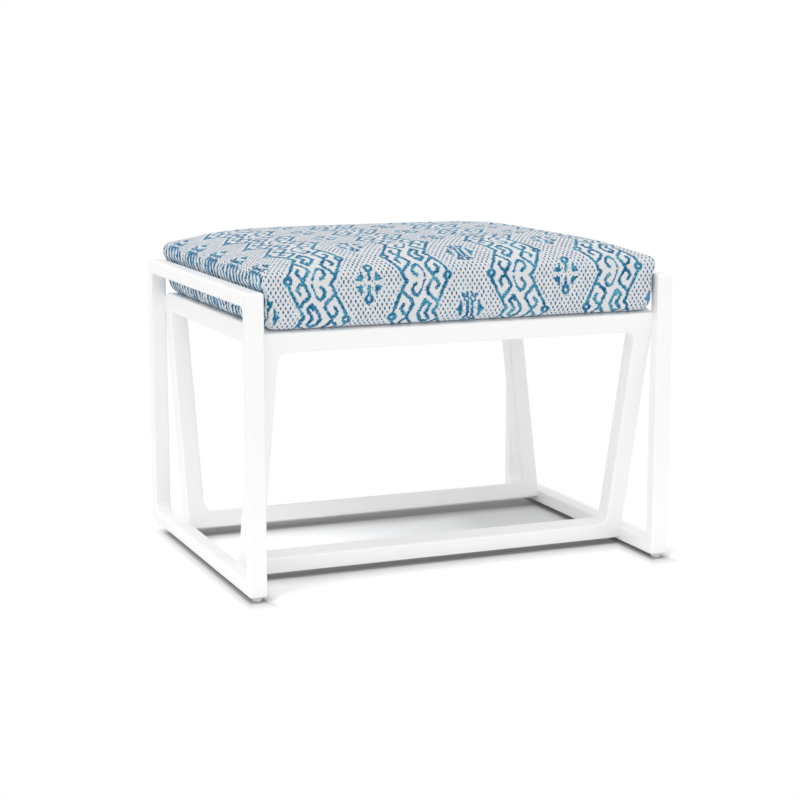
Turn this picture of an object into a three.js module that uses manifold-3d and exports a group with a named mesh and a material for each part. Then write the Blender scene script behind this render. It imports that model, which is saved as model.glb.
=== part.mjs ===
// An outdoor ottoman: two upright side frames, two leaning inner frames that carry the seat,
// a slatted seat deck, four glides and a loose crowned cushion in a zipped cover.
// Millimetres, +Z up. The front faces -Y. The origin is on the floor, under the centre.

import * as THREE from 'three';
import * as BufferGeometryUtils from 'three/addons/utils/BufferGeometryUtils.js';
import Module from 'manifold-3d';

const wasm = await Module();
wasm.setup();

// Overall sizes
const overallWidth = 660;
const overallDepth = 515;
const armHeight = 432;

// Gaps between pieces, and the overrun of a cutting shape
const weldGap = 0.3;
const seatGap = 0.3;
const cutOverrun = 5;

// Side frames: tube lying in the YZ plane
const sideTubeWidth = 25;
const sideTubeFace = 21;
const sideTubeWall = 2;
const sideTubeEdge = 3;
const sideGussetRadius = 12;

// Inner frames: tube in a plane that leans outwards at the top. Its lower outer edges stand
// footSpread apart, and its upper outer edges lie behind the posts' faces by the setback.
const footSpread = 307.4;
const seatRailSetback = 12;
const seatFrontHeight = 374;
const innerTubeDepth = 29;
const innerTubeWall = 2;
const innerTubeEdge = 3;
const seatRailFace = 30;
const floorRailFace = 26;
const legFace = 26;
const innerFrameLift = 3.5;
const innerGussetRadius = 15;
const gussetTip = 0.5;

// Seat deck: side rails and slats between the two leaning frames
const sideRailWidth = 26;
const sideRailHeight = 30;
const slatCount = 5;
const slatWidth = 40;
const slatHeight = 12;
const slatWall = 1.5;
const slatEdge = 1.5;

// Glides: a plastic foot pressed into the underside of each side frame
const glideHeight = 6.5;
const glideRadius = 7;
const glideFloorRadius = 5.5;
const glideChamferHeight = 1.5;
const glideStemRadius = 4;
const glideStemLength = 9;
const glideClearance = 0.3;

// Cushion: a box cushion with a crowned top
const cushionSideGap = 2;
const cushionFrontInset = 4.5;
const cushionSideHeight = 86;
const cushionCrown = 20;
const cushionBottomRadius = 20;
const cushionTopRadius = 17;
const cushionCornerRadius = 26;
const cushionDrawIn = 1.5;
const coverWall = 2;
const coreGap = 0.3;
const zipLength = 480;
const zipHeight = 10;
const zipHeightOnSide = 34;

// Powers that shape the cushion's crown, and the steps of its outer and inner faces
const widthFullness = 4;
const depthFullness = 4;
const crownFullness = 0.65;
const outerCrownShares = [0.97, 0.9, 0.78, 0.6, 0.35];
const innerCrownShares = [0.92, 0.7];
const outerSteps = { corner: 4, alongWidth: 7, alongDepth: 6, edge: 3, crownShares: outerCrownShares };
const innerSteps = { corner: 3, alongWidth: 4, alongDepth: 3, edge: 2, crownShares: innerCrownShares };

// Counts that shape the round corners of tubes, gussets and glides
const tubeCornerSteps = 3;
const gussetSteps = 5;
const glideSides = 24;

// Sizes that follow from the ones above
const innerFrameWidth = overallWidth - 2 * sideTubeWidth - 2 * weldGap;
const innerFrameBase = glideHeight + innerFrameLift;
const innerFrameRise = seatFrontHeight - innerFrameBase;
const innerFrameReach = (overallDepth - footSpread) / 2 - seatRailSetback;
const innerFrameLength = Math.hypot(innerFrameReach, innerFrameRise);
const leanSlope = innerFrameReach / innerFrameRise;
const lean = Math.atan(leanSlope);

// The seat is level with the highest line of the seat rails' rounded upper edges
const edgeDrop = innerTubeEdge * (Math.cos(lean) + Math.sin(lean) - 1);
const seatLevel = seatFrontHeight + innerTubeDepth * Math.sin(lean) - edgeDrop;
const cushionBottom = seatLevel + seatGap;
const cushionShoulder = cushionBottom + cushionSideHeight;

// Materials
const powderCoat = new THREE.MeshStandardMaterial({ color: 0xf2f2f2, roughness: 0.42, metalness: 0 });
const glidePlastic = new THREE.MeshStandardMaterial({ color: 0xd9d9d6, roughness: 0.5, metalness: 0 });
const coverFabric = new THREE.MeshStandardMaterial({ color: 0x86a9c6, roughness: 0.9, metalness: 0 });
const foam = new THREE.MeshStandardMaterial({ color: 0xf1ead2, roughness: 0.95, metalness: 0 });
const zipTape = new THREE.MeshStandardMaterial({ color: 0xdedfe3, roughness: 0.8, metalness: 0 });

function part(name, geometry, material) {
  const mesh = new THREE.Mesh(geometry, material.clone());
  mesh.name = name;
  return mesh;
}

// A closed geometry as a solid that can be cut, and back again
function solid(geometry) {
  const bare = geometry.clone();
  bare.deleteAttribute('normal');
  bare.deleteAttribute('uv');
  const merged = BufferGeometryUtils.mergeVertices(bare);
  const vertProperties = new Float32Array(merged.attributes.position.array);
  const triVerts = new Uint32Array(merged.index.array);
  return new wasm.Manifold(new wasm.Mesh({ numProp: 3, vertProperties, triVerts }));
}

function geometryOf(manifold) {
  const mesh = manifold.getMesh();
  const geometry = new THREE.BufferGeometry();
  geometry.setAttribute('position', new THREE.BufferAttribute(new Float32Array(mesh.vertProperties), 3));
  geometry.setIndex(new THREE.BufferAttribute(new Uint32Array(mesh.triVerts), 1));
  return geometry;
}

// Rounded rectangle from (left, bottom), as a shape or as a hole
function roundedOutline(outline, left, bottom, width, height, radius) {
  const right = left + width;
  const top = bottom + height;
  outline.moveTo(left + radius, bottom);
  outline.lineTo(right - radius, bottom);
  outline.absarc(right - radius, bottom + radius, radius, -Math.PI / 2, 0);
  outline.lineTo(right, top - radius);
  outline.absarc(right - radius, top - radius, radius, 0, Math.PI / 2);
  outline.lineTo(left + radius, top);
  outline.absarc(left + radius, top - radius, radius, Math.PI / 2, Math.PI);
  outline.lineTo(left, bottom + radius);
  outline.absarc(left + radius, bottom + radius, radius, Math.PI, 1.5 * Math.PI);
  return outline;
}

// A straight hollow tube along +Z. Its section runs from x = 0 to face and y = 0 to depth.
// Each end is cut on a slant: the end moves inwards by its slope for each unit of x.
function hollowTube({ face, depth, wall, edge, length, startSlope, endSlope, startInset, endInset }) {
  const section = roundedOutline(new THREE.Shape(), 0, 0, face, depth, edge);
  const bore = new THREE.Path();
  bore.moveTo(wall, wall);
  bore.lineTo(wall, depth - wall);
  bore.lineTo(face - wall, depth - wall);
  bore.lineTo(face - wall, wall);
  bore.closePath();
  section.holes.push(bore);
  const options = { depth: length, bevelEnabled: false, steps: 1, curveSegments: tubeCornerSteps };
  const tube = new THREE.ExtrudeGeometry(section, options);
  const points = tube.attributes.position;
  for (let i = 0; i < points.count; i += 1) {
    const across = points.getX(i);
    const atStart = points.getZ(i) < length / 2;
    const z = atStart ? startInset + startSlope * across : length - endInset - endSlope * across;
    points.setZ(i, z);
  }
  tube.computeVertexNormals();
  return tube;
}

// How far a mitred end is drawn back along its member, so that the two keep the weld gap
function mitreInset(ownFace, nextFace) {
  return (weldGap / 2) * Math.hypot(ownFace, nextFace) / ownFace;
}

// The wedge that rounds a window corner, from its corner at (0, 0), with its arc towards +x and +z
function gussetWedge(radius, depth) {
  const turn = Math.acos(1 - (weldGap + gussetTip) / radius);
  const reach = radius - radius * Math.sin(turn);
  const wedge = new THREE.Shape();
  wedge.moveTo(weldGap, weldGap);
  wedge.lineTo(reach, weldGap);
  wedge.absarc(radius, radius, radius, -Math.PI / 2 - turn, -Math.PI + turn, true);
  wedge.lineTo(weldGap, reach);
  wedge.closePath();
  const options = { depth, bevelEnabled: false, steps: 1, curveSegments: gussetSteps };
  const geometry = new THREE.ExtrudeGeometry(wedge, options);
  geometry.rotateX(Math.PI / 2);
  return geometry;
}

// A welded rectangular frame in the XZ plane, centred on x = 0 and standing on z = 0, with its
// depth along +Y. Members and corners go round clockwise from the left upright, seen from -Y.
function weldedFrame({ width, height, depth, wall, edge, members, gussets, gussetRadius, material }) {
  const frame = new THREE.Group();
  const corners = [
    new THREE.Vector3(-width / 2, 0, 0),
    new THREE.Vector3(-width / 2, 0, height),
    new THREE.Vector3(width / 2, 0, height),
    new THREE.Vector3(width / 2, 0, 0),
  ];
  members.forEach((member, k) => {
    const previous = members[(k + members.length - 1) % members.length];
    const next = members[(k + 1) % members.length];
    const upright = k % 2 === 0;
    const place = new THREE.Group();
    place.position.copy(corners[k]);
    place.rotation.y = k * Math.PI / 2;

    const tube = hollowTube({
      face: member.face,
      depth,
      wall,
      edge,
      length: upright ? height : width,
      startSlope: previous.face / member.face,
      endSlope: next.face / member.face,
      startInset: mitreInset(member.face, previous.face),
      endInset: mitreInset(member.face, next.face),
    });
    place.add(part(member.name, member.finish ? member.finish(tube) : tube, material));

    const gussetDepth = depth - 2 * edge;
    const gusset = part(gussets[k], gussetWedge(gussetRadius, gussetDepth), material);
    gusset.position.set(member.face, depth - edge, previous.face);
    place.add(gusset);
    frame.add(place);
  });
  return frame;
}

// Glides: the foot, its stem and the holes that take the stems
const glidePlaces = [-1, 1].map((side) => side * (overallDepth / 2 - sideTubeFace / 2));

function glide(name) {
  const profile = [
    new THREE.Vector2(0, 0),
    new THREE.Vector2(glideFloorRadius, 0),
    new THREE.Vector2(glideRadius, glideChamferHeight),
    new THREE.Vector2(glideRadius, glideHeight - seatGap),
    new THREE.Vector2(glideStemRadius, glideHeight - seatGap),
    new THREE.Vector2(glideStemRadius, glideHeight + glideStemLength),
    new THREE.Vector2(0, glideHeight + glideStemLength),
  ];
  const foot = new THREE.LatheGeometry(profile, glideSides);
  foot.rotateX(Math.PI / 2);
  return part(name, foot, glidePlastic);
}

// Bores the glide holes through the lower wall of a floor rail that runs along its own +Z
function boreGlideHoles(tube) {
  const radius = glideStemRadius + glideClearance;
  const bit = new THREE.CylinderGeometry(radius, radius, sideTubeWall + 2 * cutOverrun, glideSides);
  bit.rotateZ(Math.PI / 2);
  let rail = solid(tube);
  for (const place of glidePlaces) {
    const hole = bit.clone();
    hole.translate(0, sideTubeWidth / 2, overallDepth / 2 + place);
    rail = rail.subtract(solid(hole));
  }
  return geometryOf(rail);
}

function sideFrame(side, outerX) {
  const frame = weldedFrame({
    width: overallDepth,
    height: armHeight - glideHeight,
    depth: sideTubeWidth,
    wall: sideTubeWall,
    edge: sideTubeEdge,
    members: [
      { name: `${side}_front_post`, face: sideTubeFace },
      { name: `${side}_arm_rail`, face: sideTubeFace },
      { name: `${side}_rear_post`, face: sideTubeFace },
      { name: `${side}_floor_rail`, face: sideTubeFace, finish: boreGlideHoles },
    ],
    gussets: [
      `${side}_lower_front_gusset`,
      `${side}_upper_front_gusset`,
      `${side}_upper_rear_gusset`,
      `${side}_lower_rear_gusset`,
    ],
    gussetRadius: sideGussetRadius,
    material: powderCoat,
  });
  frame.rotation.z = Math.PI / 2;
  frame.position.set(outerX, 0, glideHeight);
  return frame;
}

// A leaning frame: its lower outer edge is the line it turns about
function innerFrame(end) {
  const ring = weldedFrame({
    width: innerFrameWidth,
    height: innerFrameLength,
    depth: innerTubeDepth,
    wall: innerTubeWall,
    edge: innerTubeEdge,
    members: [
      { name: `${end.name}_${end.first}_leg`, face: legFace },
      { name: `${end.name}_seat_rail`, face: seatRailFace },
      { name: `${end.name}_${end.second}_leg`, face: legFace },
      { name: `${end.name}_inner_floor_rail`, face: floorRailFace },
    ],
    gussets: [
      `${end.name}_lower_${end.first}_gusset`,
      `${end.name}_upper_${end.first}_gusset`,
      `${end.name}_upper_${end.second}_gusset`,
      `${end.name}_lower_${end.second}_gusset`,
    ],
    gussetRadius: innerGussetRadius,
    material: powderCoat,
  });
  ring.rotation.x = lean;
  ring.position.set(0, -footSpread / 2, innerFrameBase);
  const frame = new THREE.Group();
  frame.rotation.z = end.turn;
  frame.add(ring);
  return frame;
}

// Half the clear length between the leaning frames' inner faces, at a height above the floor
function halfSpanAt(height) {
  const lowerBackY = footSpread / 2 - innerTubeDepth * Math.cos(lean);
  const lowerBackZ = innerFrameBase + innerTubeDepth * Math.sin(lean);
  return lowerBackY + (height - lowerBackZ) * leanSlope - weldGap / Math.cos(lean);
}

// A tube from front to back whose ends lean with the frames: its section's x is height
function deckTube(name, width, height, wall, edge, centreX) {
  const base = seatLevel - height;
  const halfSpan = halfSpanAt(base);
  const tube = hollowTube({
    face: height,
    depth: width,
    wall,
    edge,
    length: 2 * halfSpan,
    startSlope: -leanSlope,
    endSlope: -leanSlope,
    startInset: 0,
    endInset: 0,
  });
  const upright = new THREE.Matrix4().makeBasis(
    new THREE.Vector3(0, 0, 1),
    new THREE.Vector3(1, 0, 0),
    new THREE.Vector3(0, 1, 0),
  );
  tube.applyMatrix4(upright);
  const mesh = part(name, tube, powderCoat);
  mesh.position.set(centreX - width / 2, -halfSpan, base);
  return mesh;
}

// Cushion form, drawn in from its outer size by an inset

// One turn of points round the cushion, seen from above, with rounded corners and drawn-in sides
function planRing(halfWidth, halfDepth, radius, steps) {
  const corners = [
    { sx: 1, sy: 1, sideSteps: steps.alongWidth },
    { sx: -1, sy: 1, sideSteps: steps.alongDepth },
    { sx: -1, sy: -1, sideSteps: steps.alongWidth },
    { sx: 1, sy: -1, sideSteps: steps.alongDepth },
  ];
  const onCorner = (k, share) => {
    const angle = (k + share) * Math.PI / 2;
    const { sx, sy } = corners[k];
    return new THREE.Vector2(
      sx * (halfWidth - radius) + radius * Math.cos(angle),
      sy * (halfDepth - radius) + radius * Math.sin(angle),
    );
  };
  const ring = [];
  corners.forEach(({ sideSteps }, k) => {
    for (let i = 0; i <= steps.corner; i += 1) {
      ring.push(onCorner(k, i / steps.corner));
    }
    const from = onCorner(k, 1);
    const to = onCorner((k + 1) % corners.length, 0);
    const outwards = new THREE.Vector2(to.y - from.y, from.x - to.x).normalize();
    for (let i = 1; i < sideSteps; i += 1) {
      const share = i / sideSteps;
      const point = from.clone().lerp(to, share);
      ring.push(point.addScaledVector(outwards, -cushionDrawIn * Math.sin(share * Math.PI)));
    }
  });
  return ring;
}

function crownAt(x, y, halfWidth, halfDepth) {
  const acrossWidth = 1 - Math.abs(x / halfWidth) ** widthFullness;
  const acrossDepth = 1 - Math.abs(y / halfDepth) ** depthFullness;
  return cushionCrown * (Math.max(acrossWidth, 0) * Math.max(acrossDepth, 0)) ** crownFullness;
}

// Joins rings of equal length into a closed body, with a point at the bottom and one at the top
function closedBody(rings, bottomPoint, topPoint) {
  const around = rings[0].length;
  const points = [bottomPoint, ...rings.flat(), topPoint];
  const positions = points.flatMap((point) => point.toArray());
  const last = points.length - 1;
  const at = (ring, i) => 1 + ring * around + (i % around);
  const index = [];
  for (let i = 0; i < around; i += 1) {
    index.push(0, at(0, i + 1), at(0, i));
    for (let ring = 0; ring + 1 < rings.length; ring += 1) {
      index.push(at(ring, i), at(ring, i + 1), at(ring + 1, i + 1));
      index.push(at(ring, i), at(ring + 1, i + 1), at(ring + 1, i));
    }
    index.push(at(rings.length - 1, i), at(rings.length - 1, i + 1), last);
  }
  const geometry = new THREE.BufferGeometry();
  geometry.setAttribute('position', new THREE.BufferAttribute(new Float32Array(positions), 3));
  geometry.setIndex(index);
  geometry.computeVertexNormals();
  return geometry;
}

function cushionForm(inset, steps) {
  const halfWidth = overallWidth / 2 - sideTubeWidth - cushionSideGap - inset;
  const halfDepth = overallDepth / 2 - cushionFrontInset - inset;
  const corner = cushionCornerRadius - inset;
  const bottomRadius = cushionBottomRadius - inset;
  const topRadius = cushionTopRadius - inset;
  const bottom = cushionBottom + inset;
  const shoulder = cushionShoulder - inset;
  const rings = [];
  const addRing = (drawIn, height) => {
    const plan = planRing(halfWidth - drawIn, halfDepth - drawIn, corner - drawIn, steps);
    rings.push(plan.map((point) => new THREE.Vector3(point.x, point.y, height)));
  };
  for (let i = 0; i <= steps.edge; i += 1) {
    const angle = (i / steps.edge) * Math.PI / 2;
    addRing(bottomRadius * (1 - Math.sin(angle)), bottom + bottomRadius * (1 - Math.cos(angle)));
  }
  for (let i = 0; i <= steps.edge; i += 1) {
    const angle = (i / steps.edge) * Math.PI / 2;
    addRing(topRadius * (1 - Math.cos(angle)), shoulder - topRadius * (1 - Math.sin(angle)));
  }
  const rim = rings[rings.length - 1];
  const topHalfWidth = halfWidth - topRadius;
  const topHalfDepth = halfDepth - topRadius;
  for (const share of steps.crownShares) {
    rings.push(rim.map((point) => {
      const x = share * point.x;
      const y = share * point.y;
      return new THREE.Vector3(x, y, shoulder + crownAt(x, y, topHalfWidth, topHalfDepth));
    }));
  }
  const bottomPoint = new THREE.Vector3(0, 0, bottom);
  const topPoint = new THREE.Vector3(0, 0, shoulder + crownAt(0, 0, topHalfWidth, topHalfDepth));
  return closedBody(rings, bottomPoint, topPoint);
}

// A bar through the middle of the cushion's rear side, for the zip or for the slot that takes it
function zipBar(clearance) {
  const length = zipLength + 2 * clearance;
  const height = zipHeight + 2 * clearance;
  const bar = new THREE.BoxGeometry(length, overallDepth / 2, height);
  bar.translate(0, overallDepth / 2, cushionBottom + zipHeightOnSide + zipHeight / 2);
  return solid(bar);
}

function cushion() {
  const skin = solid(cushionForm(0, outerSteps)).subtract(solid(cushionForm(coverWall, innerSteps)));
  const cover = skin.subtract(zipBar(seatGap));
  const zip = skin.intersect(zipBar(0));
  const group = new THREE.Group();
  group.add(part('cushion_cover', geometryOf(cover), coverFabric));
  group.add(part('cushion_zip', geometryOf(zip), zipTape));
  group.add(part('cushion_core', cushionForm(coverWall + coreGap, innerSteps), foam));
  return group;
}

// The whole ottoman
const ottoman = new THREE.Group();
ottoman.add(sideFrame('left', -(overallWidth / 2 - sideTubeWidth)));
ottoman.add(sideFrame('right', overallWidth / 2));
ottoman.add(innerFrame({ name: 'front', turn: 0, first: 'left', second: 'right' }));
ottoman.add(innerFrame({ name: 'rear', turn: Math.PI, first: 'right', second: 'left' }));

const sideRailX = innerFrameWidth / 2 - sideRailWidth / 2;
ottoman.add(deckTube('left_seat_rail', sideRailWidth, sideRailHeight, innerTubeWall, innerTubeEdge, -sideRailX));
ottoman.add(deckTube('right_seat_rail', sideRailWidth, sideRailHeight, innerTubeWall, innerTubeEdge, sideRailX));

const deckWidth = innerFrameWidth - 2 * sideRailWidth;
const slatPitch = (deckWidth + slatWidth) / (slatCount + 1);
for (let i = 0; i < slatCount; i += 1) {
  const x = (i - (slatCount - 1) / 2) * slatPitch;
  ottoman.add(deckTube(`seat_slat_${i + 1}`, slatWidth, slatHeight, slatWall, slatEdge, x));
}

for (const [side, sx] of [['left', -1], ['right', 1]]) {
  for (const [end, y] of [['front', glidePlaces[0]], ['rear', glidePlaces[1]]]) {
    const foot = glide(`${side}_${end}_glide`);
    foot.position.set(sx * (overallWidth / 2 - sideTubeWidth / 2), y, 0);
    ottoman.add(foot);
  }
}

ottoman.add(cushion());

export default ottoman;
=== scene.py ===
# %% [markdown]
# # An outdoor footstool with a loose cushion
# The real one has two upright rectangles of white square-edged tube, two inner frames that
# lean outwards at the top, and one thick cushion in a woven blue and off-white cover.
# The plain solids are loaded first. They say where everything is, in metres, with the front
# towards -Y. Each piece made below is built in that place and then moves with its body.

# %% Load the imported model
import math

import bmesh
import bpy
from mathutils import Matrix, Vector


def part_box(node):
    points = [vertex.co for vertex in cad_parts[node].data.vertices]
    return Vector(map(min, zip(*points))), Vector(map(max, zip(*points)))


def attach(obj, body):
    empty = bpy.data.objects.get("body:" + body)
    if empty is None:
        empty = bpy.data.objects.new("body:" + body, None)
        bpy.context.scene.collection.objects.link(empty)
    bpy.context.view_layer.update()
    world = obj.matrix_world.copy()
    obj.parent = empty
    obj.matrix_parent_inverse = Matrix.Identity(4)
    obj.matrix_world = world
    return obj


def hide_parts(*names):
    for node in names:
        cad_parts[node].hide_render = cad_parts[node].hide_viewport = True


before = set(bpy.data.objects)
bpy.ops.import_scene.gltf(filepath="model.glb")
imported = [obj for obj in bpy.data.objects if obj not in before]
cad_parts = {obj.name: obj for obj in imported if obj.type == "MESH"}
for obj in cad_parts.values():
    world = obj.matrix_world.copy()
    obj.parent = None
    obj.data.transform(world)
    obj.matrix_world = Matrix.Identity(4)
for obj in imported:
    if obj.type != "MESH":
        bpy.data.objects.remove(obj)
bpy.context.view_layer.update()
scene = bpy.context.scene
MM = 0.001

# %% [markdown]
# ## Shader arithmetic
# A finish is a chain of shader nodes. Written one node at a time it is hard to read, so a
# small class wraps a socket and lets a line of Python arithmetic add the Math nodes. The
# second class holds one material, and adds any other node with its settings and inputs.

# %% A socket that can be calculated with
class Signal:
    def __init__(self, finish, socket):
        self.finish, self.socket = finish, socket

    def math(self, operation, *others):
        return self.finish.math(operation, self, *others)

    def __add__(self, other): return self.math("ADD", other)
    def __radd__(self, other): return self.math("ADD", other)
    def __sub__(self, other): return self.math("SUBTRACT", other)
    def __rsub__(self, other): return self.finish.math("SUBTRACT", other, self)
    def __mul__(self, other): return self.math("MULTIPLY", other)
    def __rmul__(self, other): return self.math("MULTIPLY", other)
    def __truediv__(self, other): return self.math("DIVIDE", other)
    def __lt__(self, other): return self.math("LESS_THAN", other)
    def __gt__(self, other): return self.math("GREATER_THAN", other)
    def __abs__(self): return self.math("ABSOLUTE")


# %% A material that nodes are added to
class Finish:
    def __init__(self, name):
        self.material = bpy.data.materials.new(name)
        self.material.use_nodes = True
        self.tree = self.material.node_tree
        self.surface = self.tree.nodes["Principled BSDF"]

    def node(self, kind, settings=None, inputs=None, out=0):
        """Add any node: its settings first, then the values or links of its sockets."""
        made = self.tree.nodes.new(kind)
        for name, value in (settings or {}).items():
            if name == "stops":
                ramp = made.color_ramp.elements
                while len(ramp) < len(value):
                    ramp.new(0.5)
                for element, (place, colour) in zip(ramp, value):
                    element.position, element.color = place, colour
            else:
                setattr(made, name, value)
        pairs = inputs.items() if isinstance(inputs, dict) else enumerate(inputs or [])
        for key, value in pairs:
            self.feed(made.inputs[key], value)
        return Signal(self, made.outputs[out])

    def feed(self, socket, value):
        if isinstance(value, Signal):
            self.tree.links.new(value.socket, socket)
        else:
            socket.default_value = value

    def math(self, operation, *values):
        return self.node("ShaderNodeMath", {"operation": operation}, values)

    def vector(self, operation, *values, out=0):
        return self.node("ShaderNodeVectorMath", {"operation": operation}, values, out)

    def scale(self, vector, amount):
        return self.node("ShaderNodeVectorMath", {"operation": "SCALE"},
                         {"Vector": vector, "Scale": amount})

    def join(self, x, y):
        return self.node("ShaderNodeCombineXYZ", {}, [x, y])

    def split(self, vector):
        parts = self.node("ShaderNodeSeparateXYZ", {}, [vector])
        return parts, Signal(self, parts.socket.node.outputs[1])

    def object_place(self):
        return self.node("ShaderNodeTexCoord", {}, {}, "Object")

    def noise(self, place, scale, detail=2.0, dimensions="3D", out=0):
        return self.node("ShaderNodeTexNoise", {"noise_dimensions": dimensions},
                         {"Vector": place, "Scale": scale, "Detail": detail}, out)

    def speckle(self, x, y):
        """A number from 0 to 1 that jumps from one cell to the next."""
        return self.node("ShaderNodeTexWhiteNoise", {"noise_dimensions": "2D"}, [self.join(x, y)])

    def mix(self, share, first, second):
        """Between two colours. Sockets 6, 7 and 2 are the Mix node's colour ones."""
        return self.node("ShaderNodeMix", {"data_type": "RGBA"},
                         {0: share, 6: first, 7: second}, 2)

    def step(self, value, low, high):
        """0 below low, 1 above high, and even in between."""
        return self.node("ShaderNodeMapRange", {}, {0: value, 1: low, 2: high, 3: 0.0, 4: 1.0})

    def set(self, **values):
        """Feed the shader's own sockets, named with underscores."""
        for name, value in values.items():
            self.feed(self.surface.inputs[name.replace("_", " ")], value)

    def bump(self, height, strength, distance):
        lifted = self.node("ShaderNodeBump", {}, {"Height": height, "Strength": strength,
                                                  "Distance": distance})
        self.feed(self.surface.inputs["Normal"], lifted)


def grey(level):
    return (level, level, level, 1.0)


print("shader classes ready")

# %% [markdown]
# ## White powder coat
# Powder is sprayed on dry and baked, which leaves a satin skin with a fine orange peel and
# no brush marks. The white is all but even, so the finish lives in the roughness and in a
# very low bump. Both follow Object coordinates, so the grain keeps one scale on every tube.

# %% Powder coat
COAT_WHITES = (0.915, 0.913, 0.909, 1), (0.925, 0.924, 0.921, 1)
PEEL_SCALE, CLOUD_SCALE = 900.0, 14.0


def powder_coat():
    coat = Finish("white_powder_coat")
    place = coat.object_place()
    peel = coat.noise(place, PEEL_SCALE)
    cloud = coat.noise(place, CLOUD_SCALE, detail=3.0)
    coat.set(Base_Color=coat.mix(coat.step(cloud, 0.3, 0.7), *COAT_WHITES),
             Roughness=0.40 + 0.10 * peel, Specular_IOR_Level=0.4)
    coat.bump(peel, strength=0.25, distance=0.00012)
    return coat.material


coat = powder_coat()
print("nodes in the powder coat:", len(coat.node_tree.nodes))

# %% [markdown]
# ## Welded rectangles
# A side frame is four tubes, cut at 45 degrees, welded and ground until the corners look
# cast in one. So each rectangle is made as one ring: an outer and an inner outline, both
# with rounded corners, are bridged, pulled out to the depth of the tube, and bevelled. Then
# the ring is cut at its mitres, because each tube is a piece of its own.

# %% A ring of tube, lying in its own plane
def rounded_rectangle(bm, left, low, right, high, radius):
    corners = [bm.verts.new((x, 0, z)) for x, z in
               ((left, low), (right, low), (right, high), (left, high))]
    bm.faces.new(corners)
    bmesh.ops.bevel(bm, geom=corners, offset=radius, offset_type="OFFSET", segments=8,
                    profile=0.5, affect="VERTICES", material=-1)


def tube_ring(half_width, low, high, sides, bottom, top, depth, edge, corner, window):
    bm = bmesh.new()
    rounded_rectangle(bm, -half_width, low, half_width, high, corner)
    rounded_rectangle(bm, sides - half_width, low + bottom, half_width - sides, high - top, window)
    bmesh.ops.delete(bm, geom=list(bm.faces), context="FACES_ONLY")
    bmesh.ops.bridge_loops(bm, edges=list(bm.edges))
    pulled = bmesh.ops.extrude_face_region(bm, geom=list(bm.faces))
    far = [item for item in pulled["geom"] if isinstance(item, bmesh.types.BMVert)]
    bmesh.ops.translate(bm, verts=far, vec=(0, depth, 0))
    bmesh.ops.recalc_face_normals(bm, faces=bm.faces)
    rims = [e for e in bm.edges if abs(e.verts[0].co.y - e.verts[1].co.y) < 1e-6
            and any(abs(f.normal.y) < 0.5 for f in e.link_faces)]
    bmesh.ops.bevel(bm, geom=rims, offset=edge, offset_type="OFFSET", segments=4,
                    profile=0.5, affect="EDGES", material=-1)
    return bm


print("ring maker ready")

# %% Cut one tube out of the ring at its two mitres
def keep_side(bm, point, along, inside):
    """Cut along a mitre, close the cut, and keep the part that holds the inside point."""
    normal = Vector((along[1], 0, -along[0]))
    if normal.dot(Vector(inside) - Vector(point)) > 0:
        normal.negate()
    cut = bmesh.ops.bisect_plane(bm, geom=bm.verts[:] + bm.edges[:] + bm.faces[:], dist=1e-7,
                                 plane_co=point, plane_no=normal, clear_outer=True)
    edges = [item for item in cut["geom_cut"] if isinstance(item, bmesh.types.BMEdge)]
    bmesh.ops.contextual_create(bm, geom=edges)


def mitred_tube(ring, half_width, low, high, sides, bottom, top, which):
    bm = ring.copy()
    if which in ("left", "right"):
        sign = -1 if which == "left" else 1
        middle = (sign * (half_width - sides / 2), 0, (low + high) / 2)
        keep_side(bm, (sign * half_width, 0, high), (-sign * sides, -top), middle)
        keep_side(bm, (sign * half_width, 0, low), (-sign * sides, bottom), middle)
    else:
        z, inwards = (low, bottom) if which == "bottom" else (high, -top)
        middle = (0, 0, z + inwards / 2)
        keep_side(bm, (-half_width, 0, z), (sides, inwards), middle)
        keep_side(bm, (half_width, 0, z), (-sides, inwards), middle)
    return bm


print("mitre cutter ready")

# %% Turn a mesh into a finished piece
SHARP_FROM = math.radians(40)


def finished_piece(name, bm, material, replaced, body="frame"):
    bmesh.ops.remove_doubles(bm, verts=bm.verts, dist=1e-6)
    bmesh.ops.recalc_face_normals(bm, faces=bm.faces)
    mesh = bpy.data.meshes.new(name)
    bm.to_mesh(mesh)
    bm.free()
    mesh.polygons.foreach_set("use_smooth", [True] * len(mesh.polygons))
    mesh.set_sharp_from_angle(angle=SHARP_FROM)
    mesh.materials.append(material)
    piece = bpy.data.objects.new(name, mesh)
    scene.collection.objects.link(piece)
    shading = piece.modifiers.new("even shading", "WEIGHTED_NORMAL")
    shading.keep_sharp = True
    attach(piece, body)
    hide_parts(*replaced)


def place_tubes(prefix, ring, sizes, place, parts):
    """Cut each tube out of its ring and put it where the frame stands."""
    for name, (which, wedges) in parts.items():
        bm = mitred_tube(ring, **sizes, which=which)
        bmesh.ops.transform(bm, matrix=place, verts=bm.verts)
        finished_piece(f"{prefix}_{name}_tube", bm, coat,
                       replaced=[f"{prefix}_{name}"] + [f"{prefix}_{w}" for w in wedges])


print("edges are sharp from", round(math.degrees(SHARP_FROM)), "degrees")

# %% [markdown]
# ## Side frames
# Each side frame stands upright at one end of the stool. Its tube is 25 mm wide seen from
# the front and 21 mm seen from the side. The corners of its window are filled and ground to
# a 12 mm curve, which the plain solids show as small wedges.

# %% Left and right side frames
SIDE_X, SIDE_DEPTH = 305 * MM, 25 * MM
SIDE = dict(half_width=257.5 * MM, low=6.5 * MM, high=432 * MM,
            sides=21 * MM, bottom=21 * MM, top=21 * MM)
side_ring = tube_ring(**SIDE, depth=SIDE_DEPTH, edge=3 * MM, corner=4.5 * MM, window=12 * MM)


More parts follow.
